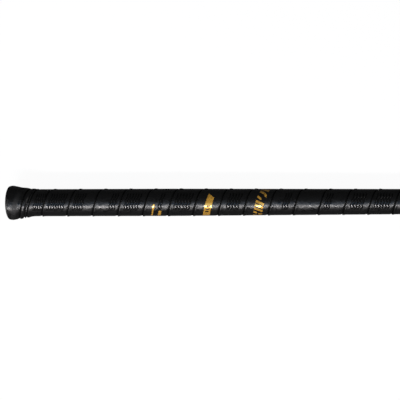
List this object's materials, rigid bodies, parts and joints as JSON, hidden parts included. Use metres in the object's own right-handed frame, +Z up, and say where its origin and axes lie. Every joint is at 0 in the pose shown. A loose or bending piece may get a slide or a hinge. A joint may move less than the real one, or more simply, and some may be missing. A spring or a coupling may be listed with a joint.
{
  "type": "floorball stick",
  "caption": "Straight floorball stick with a wound grip, a flared butt cap, a hollow tapered shaft and a curved lattice blade set at an angle.",
  "frame": {"origin": "centre of the butt cap's flat end face", "axes": "+X along the shaft towards the blade, +Z up, with the stick lying on the floor and the blade leaving the shaft towards +Y"},
  "size_m": [1.1019, 0.2353, 0.0386],
  "materials": {
    "shaft_laminate": "clear-coated black composite",
    "cap_plastic": "moulded, fine texture",
    "grip_band": "soft polyurethane with embossed patches and gold foil print",
    "adhesive": "tacky film",
    "finish_film": "stretched vinyl tape",
    "gold_film": "printed gold stripes on black film",
    "label_film": "blank satin label",
    "blade_plastic": "moulded satin",
    "screw_steel": "zinc-plated"
  },
  "bodies": {
    "root": {"shaft_tube": "shaft_laminate", "butt_cap": "cap_plastic", "grip_first_turn": "grip_band", "grip_adhesive": "adhesive", "grip_tape": "grip_band", "finish_tape": "finish_film", "decal_upper": "gold_film", "decal_lower": "gold_film", "approval_label": "label_film", "hosel_adhesive": "adhesive", "blade": "blade_plastic", "blade_screws": "screw_steel"}
  },
  "joints": []
}
